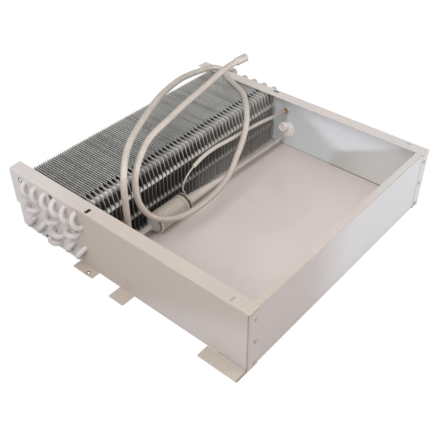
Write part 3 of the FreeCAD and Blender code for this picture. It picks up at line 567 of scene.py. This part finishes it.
hairpinFinish = hairpinSkin()
places = [tubeAt(*tube) for tube in circuit]
for i in range(0, len(places), 2):
    label = f"{i // 2 + 1:02d}"
    coilPiece(
        "hairpinTube" + label, places[i], places[i + 1], coil["nearTurn"], -1, hairpinFinish,
        "hairpin_" + label)
for i in range(1, len(places) - 1, 2):
    label = f"{i // 2 + 1:02d}"
    coilPiece(
        "returnBend" + label, places[i], places[i + 1], coil["farTurn"], 1, coilSkin,
        "return_bend_" + label)
coilPiece("inletJumperTube", coil["inletPort"], places[0], coil["farTurn"], 1, coilSkin, "inlet_jumper")
coilPiece("outletJumperTube", coil["outletPort"], places[-1], coil["farTurn"], 1, coilSkin, "outlet_jumper")
print("coil tubes bent")


# One fin: a thin sheet across the tubes, with a rounded top corner at the front
def finSheet(bm, x, front, corner, lean):
    foot, head, rear = finRanks["foot"], finRanks["head"], finRanks["rear"]
    (nestY, nestZ), reach = finRanks["nestCentre"], finRanks["nestRadius"]
    outline = [(front, foot)]
    # Round cut in which the accumulator lies
    if finRanks["nestLeft"] < x < finRanks["nestRight"] and front < nestY + reach:
        low = math.asin((foot - nestZ) / reach)
        high = math.acos((front - nestY) / reach)
        turns = [high + (low - high) * i / finRanks["nestSteps"] for i in range(finRanks["nestSteps"] + 1)]
        outline = [(nestY + reach * math.cos(turn), nestZ + reach * math.sin(turn)) for turn in turns]
    outline += [(rear, foot), (rear, head)]
    cornerY, cornerZ = front + lean + corner, head - corner
    slope = math.atan2(lean, cornerZ - finRanks["leanFoot"])
    for i in range(finRanks["cornerSteps"] + 1):
        turn = math.pi / 2 + i * (math.pi / 2 - slope) / finRanks["cornerSteps"]
        outline.append((cornerY + corner * math.cos(turn), cornerZ + corner * math.sin(turn)))
    if lean:
        outline.append((front, finRanks["leanFoot"]))
    face = bm.faces.new([bm.verts.new((x, y, z)) for y, z in outline])
    made = bmesh.ops.extrude_face_region(bm, geom=[face])["geom"]
    bmesh.ops.translate(bm, verts=vertsOf(made), vec=(finRanks["gauge"], 0, 0))


# Collar drawn up from the fin round each tube
def finCollar(bm, x, y, z):
    bmesh.ops.create_cone(
        bm, cap_ends=False, segments=finRanks["collarSides"], depth=finRanks["collar"],
        radius1=coil["radius"] + finRanks["collarFoot"], radius2=coil["radius"] + finRanks["collarHead"],
        matrix=Matrix.Translation((x + finRanks["collar"] / 2, y, z)) @ Matrix.Rotation(math.pi / 2, 4, "Y"))


def finRank(name, count, shift, front, corner, lean):
    bm = bmesh.new()
    start = -(finRanks["count"] - 1) * finRanks["pitch"] / 2 + shift
    tubes = [tubeAt(row + 1, column + 1) for row in range(coil["rows"]) for column in range(coil["columns"])]
    for i in range(count):
        x = start + i * finRanks["pitch"]
        finSheet(bm, x - finRanks["gauge"] / 2, front, corner, lean)
        for y, z in tubes:
            if y > front + coil["radius"]:
                finCollar(bm, x, y, z)
    stock = finStock(name + " fin stock", front, corner, lean)
    finishPiece(name + "Fins", bm, stock, [name + "_fins"], 30)


finRank("long", finRanks["count"], 0.0, finRanks["front"], finRanks["corner"], finRanks["lean"])
finRank("short", finRanks["count"] - 1, finRanks["pitch"] / 2, finRanks["front"] + finRanks["setback"],
        finRanks["shortCorner"], 0.0)
print("fins stacked")

# Accumulator: spun can with its bead, dark seam, tapered outlet and domed cap
accumulator = {
    "centre": (55 * mm, 21 * mm), "radius": 19 * mm, "left": -119 * mm, "right": -52 * mm, "steps": 64,
    "canEdge": 1.2 * mm, "bead": 2 * mm, "beadRise": 0.8 * mm, "beadSlope": 0.4 * mm, "ease": 0.5 * mm,
    "seam": 9 * mm, "seamSlope": 0.8 * mm, "seamDrop": 0.2 * mm, "seamEdge": 1.0 * mm,
    "capLength": 13 * mm, "capSeat": 1.5 * mm, "capReach": 0.98, "capDome": 0.7, "lineRadius": 5.5 * mm,
    "shoulder": 7 * mm, "shoulderRadius": 17.5 * mm, "shoulderSteps": 8,
    "coneRadius": 9.5 * mm, "coneLength": 101 * mm, "coneDrop": 4.5 * mm, "tipRadius": 3.75 * mm,
}
left, right = accumulator["left"], accumulator["right"]
canStart = left + accumulator["bead"]
canRadius = accumulator["radius"]
bandRadius = canRadius + accumulator["beadRise"]


def vesselPiece(
        name, outline, material, node, centre=accumulator["centre"], steps=accumulator["steps"]):
    bm = bmesh.new()
    latheAlongX(bm, outline, centre, steps)
    finishPiece(name, bm, material, [node])


darkLines = {
    "light": shade(86, 62, 52), "dark": shade(54, 38, 32),
    "wave": 1.6 * mm, "start": 0.6 * mm, "end": 0.8 * mm,
    "canLines": ((-50.4 * mm, -46.6 * mm, 1.0), (-58 * mm, -57.4 * mm, 0.45)),
    # The cap's line beside the bead is painted shade
    "capLines": ((-121.6 * mm, -119.4 * mm, 0.6),),
}


# Spun shell with dark lines round it, each from one x to the next with its strength
def shellSkin(name, base, deep, lines):
    shader = newShader(name)
    x = shader.axes()[0] + (shader.noise(60.0, 3.0) - 0.5) * darkLines["wave"]
    fine = shader.noise(400.0, 3.0, 0.6)
    darkening = 0.0
    for start, end, strength in lines:
        line = shader.step(x, start - darkLines["start"], start)
        line = line * shader.step(x, end, end + darkLines["end"], strength, 0.0)
        darkening = line + darkening
    pale = shader.mix(shader.step(fine, 0.35, 0.7), base, deep)
    dark = shader.mix(shader.step(fine, 0.4, 0.65), darkLines["light"], darkLines["dark"])
    colour = shader.mix(darkening, pale, dark)
    rough = 0.38 + darkening * 0.2
    return shader.finish(Base_Color=colour, Roughness=rough, Normal=shader.bump(fine, 0.08 * mm, 0.4))


canSkin = shellSkin("can skin", shade(184, 174, 163), shade(168, 158, 147), darkLines["canLines"])
capSkin = shellSkin("cap skin", shade(178, 177, 174), shade(164, 162, 159), darkLines["capLines"])

canOutline = [(canStart, 0)]
for turn in (0, 0.4, 0.8, 1.2, 1.57):  # rounded edge under the bead
    canOutline.append((canStart + accumulator["canEdge"] * (1 - math.cos(turn)),
                       canRadius - accumulator["canEdge"] * (1 - math.sin(turn))))
canOutline += [(right, canRadius), (right, 0)]
vesselPiece("accumulatorCan", canOutline, canSkin, "accumulator_can")

beadSlope, ease = accumulator["beadSlope"], accumulator["ease"]
vesselPiece("accumulatorBead", [
    (left, 0), (left, bandRadius - ease), (left + beadSlope, bandRadius), (canStart - beadSlope, bandRadius),
    (canStart, bandRadius - ease), (canStart, 0)], bandSkin, "accumulator_band")

ringEnd = right + accumulator["seam"]
vesselPiece("accumulatorSeam", [
    (right, 0), (right, bandRadius - ease), (right + accumulator["seamSlope"], bandRadius),
    (ringEnd - accumulator["seamSlope"], bandRadius - accumulator["seamDrop"]),
    (ringEnd, bandRadius - accumulator["seamEdge"]), (ringEnd, 0)], canSkin, "accumulator_ring")

shoulderEnd = ringEnd + accumulator["shoulder"]
shoulderRadius, coneRadius = accumulator["shoulderRadius"], accumulator["coneRadius"]
coneOutline = [(ringEnd, 0)]
for i in range(accumulator["shoulderSteps"] + 1):
    share = i / accumulator["shoulderSteps"]
    fall = math.cos(share * math.pi) * 0.5 + 0.5
    coneOutline.append((ringEnd + accumulator["shoulder"] * share,
                        coneRadius + (shoulderRadius - coneRadius) * fall))
for share in (0.1, 0.25, 0.5, 0.75, 1):
    coneOutline.append((shoulderEnd + accumulator["coneLength"] * share,
                        coneRadius + (accumulator["tipRadius"] - coneRadius) * share))
coneOutline.append((shoulderEnd + accumulator["coneLength"], 0))
bm = bmesh.new()
latheAlongX(bm, coneOutline, accumulator["centre"], accumulator["steps"])
for vert in bm.verts:  # the tip droops to the connecting pipe
    vert.co.z -= accumulator["coneDrop"] * max(0, (vert.co.x - shoulderEnd) / accumulator["coneLength"])
finishPiece("accumulatorCone", bm, coneSkin, ["accumulator_cone"])

capEnd = left - accumulator["capLength"]
domeRise = canRadius - accumulator["capSeat"] - accumulator["lineRadius"]
capOutline = [(capEnd, 0), (capEnd, accumulator["lineRadius"])]
for i in range(accumulator["shoulderSteps"] + 1):
    swell = math.sin(i / accumulator["shoulderSteps"] * math.pi / 2)
    capOutline.append((left - accumulator["capLength"] * (1 - swell) * accumulator["capReach"],
                       accumulator["lineRadius"] + domeRise * swell ** accumulator["capDome"]))
capOutline.append((left, 0))
vesselPiece("accumulatorCap", capOutline, capSkin, "accumulator_cap")
print("accumulator turned")


# Smooth pipe through given points in millimetres, as a mesh from a spline with a round bevel
def pipeMesh(name, route, radius):
    curve = bpy.data.curves.new(name, "CURVE")
    curve.dimensions = "3D"
    curve.bevel_depth = radius
    curve.bevel_resolution = 8
    curve.use_fill_caps = True
    spline = curve.splines.new("NURBS")
    spline.points.add(len(route) - 1)
    for point, spot in zip(spline.points, route):
        point.co = (*[c * mm for c in spot], 1.0)
    spline.order_u = 3
    spline.use_endpoint_u = True
    spline.resolution_u = 8
    holder = bpy.data.objects.new(name + "Curve", curve)
    bpy.context.collection.objects.link(holder)
    mesh = bpy.data.meshes.new_from_object(holder.evaluated_get(bpy.context.evaluated_depsgraph_get()))
    bpy.data.objects.remove(holder)
    bpy.data.curves.remove(curve)
    bm = bmesh.new()
    bm.from_mesh(mesh)
    bpy.data.meshes.remove(mesh)
    return bm


def pipe(name, route, radius, material, node):
    finishPiece(name, pipeMesh(name, route, radius), material, [node])


pipeRadius = {"line": 5.5 * mm, "connecting": 3.75 * mm, "sleeve": 3.5 * mm, "capillary": 1.4 * mm}
elbowRoute = [(-132, 55, 21), (-150, 55, 21), (-170, 53, 22), (-182, 49, 27), (-187, 45, 36), (-187, 45, 46)]
suctionRoute = [
    elbowRoute[-1], (-187, 45, 75), (-187, 45, 105), (-186, 46, 138), (-175, 55, 162), (-148, 75, 177),
    (-120, 90, 183), (-75, 112, 184), (-23, 139, 180), (15, 158, 175), (55, 175, 168), (101, 192, 160),
    (144, 202, 150), (185, 209, 140), (211, 213, 133), (226, 208, 129), (229, 194, 127), (222, 184, 126),
    (212, 172, 125), (204, 148, 124), (195, 124, 122.5), (184, 104, 122), (165, 85, 122), (140, 62, 121),
    (121, 47, 110), (104, 39, 96), (82, 30, 84), (62, 25, 72), (46, 19, 62), (20, 13, 53), (-12, 9, 47),
    (-45, 8, 44), (-76, 9, 43), (-101, 15, 43), (-122, 26, 46), (-139, 36, 56), (-150, 43, 72),
    (-156, 49, 90), (-157, 52, 110), (-152, 58, 130), (-140, 64, 145), (-122, 72, 156), (-94, 84, 165),
    (-65, 89, 170), (-30, 94, 173), (11, 103, 175), (45, 107, 178), (80, 111, 181), (122, 118, 184),
    (160, 122, 187), (200.8, 114.5, 191)]
pipe("accumulatorElbow", elbowRoute, pipeRadius["line"], lineSkin, "accumulator_elbow")

# The line's open end is a wider socket, spun about its own axis, in millimetres like the routes
lineSocket = {
    "radius": 7.25, "length": 27.0, "bore": 5.7, "depth": 22.0, "foot": 1, "rim": 0.5, "mouth": 0.3,
    "neck": ((4, 0), (2.5, 0.4), (1, 1.3)), "pipe": 5.5, "pipeStop": 2, "steps": 32,
}
lineEnd, lineBefore = Vector(suctionRoute[-1]), Vector(suctionRoute[-2])
inward = (lineBefore - lineEnd).normalized()
lineStop = lineEnd + inward * (lineSocket["depth"] + lineSocket["pipeStop"])
bm = pipeMesh("suctionLine", suctionRoute[:-1] + [tuple(lineStop)], pipeRadius["line"])
depth, bore, rim = lineSocket["depth"], lineSocket["bore"], lineSocket["rim"]
length, radius = lineSocket["length"], lineSocket["radius"]
# Distance in from the open end and radius: out of the bore, over the rim and back along the outside
socketOutline = [
    (depth, 0), (depth - lineSocket["foot"], bore), (rim, bore), (0, bore + lineSocket["mouth"]),
    (0, radius - rim), (rim, radius)]
socketOutline += [(length - before, radius - fall) for before, fall in lineSocket["neck"]]
socketOutline.append((length, lineSocket["pipe"]))
side = inward.cross(Vector((0, 0, 1))).normalized()
points = [(lineEnd + inward * along + side * out) * mm for along, out in socketOutline]
turnOutline(bm, points, lineEnd * mm, inward, lineSocket["steps"])
finishPiece("suctionLine", bm, lineSkin, ["suction_line"])

connectingRoute = [
    (65, 55, 16.5), (85, 55, 16.5), (137, 53.5, 16), (189, 52, 15.5), (220, 52, 15.5), (257, 52, 15.5)]
sleeveRoute = [
    (257, 46.5, 81), (235, 46.5, 81), (216, 47.5, 83), (187.5, 49, 87), (159.5, 50, 90), (132, 50, 92.6),
    (100, 50, 94.5), (70, 50, 97), (40, 50, 100), (12, 50, 99.5), (-6, 50, 96), (-22.5, 50, 90)]
capillaryRoute = [
    sleeveRoute[-1], (-34.5, 50, 84.5), (-45, 50, 75), (-51, 50, 65), (-52, 50, 56), (-46, 50.5, 47),
    (-45.8, 51, 40.8)]
pipe("connectingPipe", connectingRoute, pipeRadius["connecting"], coneSkin, "connecting_pipe")
pipe("inletSleeve", sleeveRoute, pipeRadius["sleeve"], lineSkin, "inlet_sleeve")
pipe("capillaryTube", capillaryRoute, pipeRadius["capillary"], lineSkin, "capillary_tube")
print("pipes drawn")

# Collar, braze, grommet and rivets
dress("inlet_collar", paleAlloy)
dress("braze_ring", braze)
dress("pipe_grommet", grommetRubber)
dress("rivets_left", rivetSkin)
dress("rivets_right", rivetSkin)
hub = {
    "left": 235.5 * mm, "right": 246.5 * mm, "radius": 9 * mm, "lip": 1.6 * mm, "ease": 1.2 * mm,
    "dish": 1.0 * mm, "nose": 0.2 * mm, "centre": (46 * mm, 47 * mm), "steps": 48,
}
hubLeft, hubRadius = hub["left"], hub["radius"]
vesselPiece("grommetHub", [
    (hubLeft + hub["dish"], 0), (hubLeft + hub["dish"], hubRadius - 2 * hub["lip"]),
    (hubLeft, hubRadius - hub["lip"]), (hubLeft + hub["nose"], hubRadius - hub["ease"] * 0.4),
    (hubLeft + hub["ease"], hubRadius), (hub["right"], hubRadius), (hub["right"], 0)],
    grommetRubber, "grommet_hub", hub["centre"], hub["steps"])
print("fittings dressed")

# Camera at the photograph's place, from a fit to the tray's corners in its 440-pixel frame
view = {
    "eye": (-0.7194, -0.60211, 0.76584), "azimuth": -49.634, "elevation": 39.888, "roll": -0.207,
    "lens": 54.93, "sensor": 36,
}
camera = bpy.data.cameras.new("camera")
camera.lens = view["lens"]
camera.sensor_width = view["sensor"]
cameraObject = bpy.data.objects.new("camera", camera)
bpy.context.collection.objects.link(cameraObject)
azimuth, elevation, roll = (math.radians(view[angle]) for angle in ("azimuth", "elevation", "roll"))
level = math.cos(elevation)
backward = Vector((math.sin(azimuth) * level, -math.cos(azimuth) * level, math.sin(elevation)))
rightward = Vector((math.cos(azimuth), math.sin(azimuth), 0))
upward = backward.cross(rightward)
facing = Matrix((rightward, upward, backward)).transposed().to_4x4()
cameraObject.matrix_world = Matrix.Translation(view["eye"]) @ facing @ Matrix.Rotation(roll, 4, "Z")
bpy.context.scene.camera = cameraObject

studio = {
    "floorSize": 8.0, "floor": (0.6, 0.6, 0.6), "white": (1.0, 1.0, 1.0), "glow": 1.08, "glowShare": 0.88,
    "sky": 0.42,
}


# Pale floor that shows white to the camera and keeps a soft shadow
def floorPaint():
    shader = newShader("studio floor")
    shader.finish(
        Base_Color=studio["floor"], Roughness=0.8, Emission_Color=studio["white"], Emission_Strength=0.0)
    seen = shader.node("ShaderNodeLightPath", output="Is Camera Ray")
    glow = shader.node("ShaderNodeEmission", inputs={"Color": studio["white"], "Strength": studio["glow"]})
    paint = Value(shader, shader.tree.nodes["Principled BSDF"].outputs[0])
    mixed = shader.node("ShaderNodeMixShader", inputs={0: seen * studio["glowShare"], 1: paint, 2: glow})
    shader.feed(shader.tree.nodes["Material Output"].inputs["Surface"], mixed)
    return shader.owner


bm = bmesh.new()
bmesh.ops.create_grid(bm, x_segments=1, y_segments=1, size=studio["floorSize"] / 2)
floorMesh = bpy.data.meshes.new("studioFloor")
bm.to_mesh(floorMesh)
bm.free()
floorMesh.materials.append(floorPaint())
studioFloor = bpy.data.objects.new("studioFloor", floorMesh)
bpy.context.collection.objects.link(studioFloor)

# Plain white world, at full strength for the camera alone
world = bpy.data.worlds.new("studio")
bpy.context.scene.world = world
sky = Shader(world)
seen = sky.node("ShaderNodeLightPath", output="Is Camera Ray")
strength = sky.node("ShaderNodeMapRange", inputs={"Value": seen, "To Min": studio["sky"], "To Max": 1.0})
background = sky.tree.nodes["Background"]
sky.feed(background.inputs["Color"], studio["white"])
sky.feed(background.inputs["Strength"], strength)


# Soft panels of light aimed at the tray
def softLight(name, place, target, size, power):
    lamp = bpy.data.lights.new(name, "AREA")
    lamp.shape = "RECTANGLE"
    lamp.size, lamp.size_y = size
    lamp.energy = power
    holder = bpy.data.objects.new(name, lamp)
    bpy.context.collection.objects.link(holder)
    aim = (Vector(target) - Vector(place)).to_track_quat("-Z", "Y")
    holder.matrix_world = Matrix.Translation(place) @ aim.to_matrix().to_4x4()


softLight("overhead", (-0.18, -0.18, 1.8), (0, 0, 0), (1.4, 1.4), 9.0)
softLight("left", (-1.17, -0.36, 1.31), (0, 0, 0.05), (1.2, 1.2), 14.4)
softLight("front", (0.8, -1.45, 0.5), (0.1, -0.25, 0.05), (0.8, 0.8), 13.0)
bpy.context.scene.view_settings.view_transform = "Standard"
print("camera and lights set")
